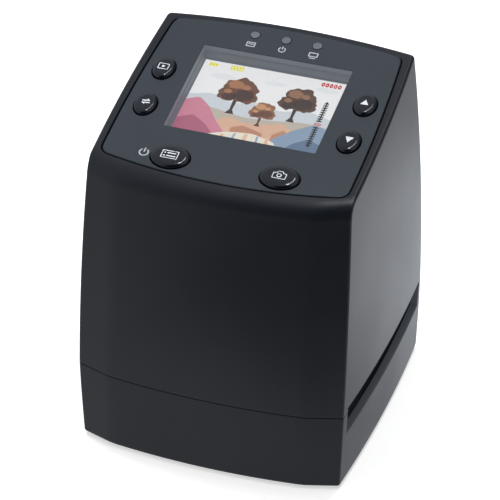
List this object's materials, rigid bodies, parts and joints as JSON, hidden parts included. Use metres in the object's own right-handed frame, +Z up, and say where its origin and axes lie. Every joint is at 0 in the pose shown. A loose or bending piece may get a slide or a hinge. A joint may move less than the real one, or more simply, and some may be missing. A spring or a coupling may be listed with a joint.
{
  "type": "film negative scanner",
  "caption": "Upright desktop scanner for film negatives: tapered black housing, sloped panel with colour display and push buttons, slot for a film tray through the base.",
  "frame": {"origin": "on the standing plane, under the middle of the bounding box", "axes": "+X to the right of the user, along the film tray's travel; +Y to the rear; +Z up"},
  "size_m": [0.091, 0.0953, 0.119],
  "materials": {
    "housing": "satin black",
    "base": "satin black",
    "panel": "satin slate grey",
    "pane": "clear",
    "frame_grey": "grey",
    "display": "display glass",
    "caps": "gloss black",
    "plungers": "dark red",
    "switches": "dark grey",
    "lamps": "frosted grey",
    "leds": "yellowish white",
    "boards": "green",
    "screws": "plated",
    "chips": "black",
    "sockets": "plated",
    "guides": "black",
    "white_plastic": "milky white",
    "lead": "red",
    "lens": "coated",
    "ribbon": "amber",
    "feet": "dark"
  },
  "bodies": {
    "scanner": {"upper_housing": "housing", "base_housing": "base", "control_panel": "panel", "display_window": "pane", "lcd_frame": "frame_grey", "lcd_panel": "display", "switch_bodies": "switches", "card_lamp": "lamps", "power_lamp": "lamps", "pc_lamp": "lamps", "lamp_leds": "leds", "main_board": "boards", "board_screws": "screws", "processor_chip": "chips", "memory_chip": "chips", "usb_socket": "sockets", "card_socket": "sockets", "film_track": "guides", "film_gate": "guides", "diffuser": "white_plastic", "light_box": "white_plastic", "backlight_board": "white_plastic", "backlight_leds": "leds", "backlight_screws": "screws", "backlight_lead": "lead", "light_tunnel": "guides", "tunnel_screws": "screws", "sensor_board": "boards", "image_sensor": "chips", "lens_holder": "guides", "lens_barrel": "guides", "lens_glass": "lens", "ribbon_connectors": "white_plastic", "sensor_ribbon": "ribbon", "housing_screws": "screws", "rubber_feet": "feet"},
    "play": {"play_button": "caps", "play_plunger": "plungers"},
    "flip": {"flip_button": "caps", "flip_plunger": "plungers"},
    "up": {"up_button": "caps", "up_plunger": "plungers"},
    "down": {"down_button": "caps", "down_plunger": "plungers"},
    "menu": {"menu_button": "caps", "menu_plunger": "plungers"},
    "capture": {"capture_button": "caps", "capture_plunger": "plungers"}
  },
  "joints": [
    {"name": "play_press", "type": "slide", "parent": "scanner", "child": "play", "axis": [0, 0.2554, -0.9668], "range_m": [0, 0.0005], "stiffness_N_per_m": 2000},
    {"name": "flip_press", "type": "slide", "parent": "scanner", "child": "flip", "axis": [0, 0.2554, -0.9668], "range_m": [0, 0.0005], "stiffness_N_per_m": 2000},
    {"name": "up_press", "type": "slide", "parent": "scanner", "child": "up", "axis": [0, 0.2554, -0.9668], "range_m": [0, 0.0005], "stiffness_N_per_m": 2000},
    {"name": "down_press", "type": "slide", "parent": "scanner", "child": "down", "axis": [0, 0.2554, -0.9668], "range_m": [0, 0.0005], "stiffness_N_per_m": 2000},
    {"name": "menu_press", "type": "slide", "parent": "scanner", "child": "menu", "axis": [0, 0.2554, -0.9668], "range_m": [0, 0.0005], "stiffness_N_per_m": 2000},
    {"name": "capture_press", "type": "slide", "parent": "scanner", "child": "capture", "axis": [0, 0.2554, -0.9668], "range_m": [0, 0.0005], "stiffness_N_per_m": 2000}
  ]
}
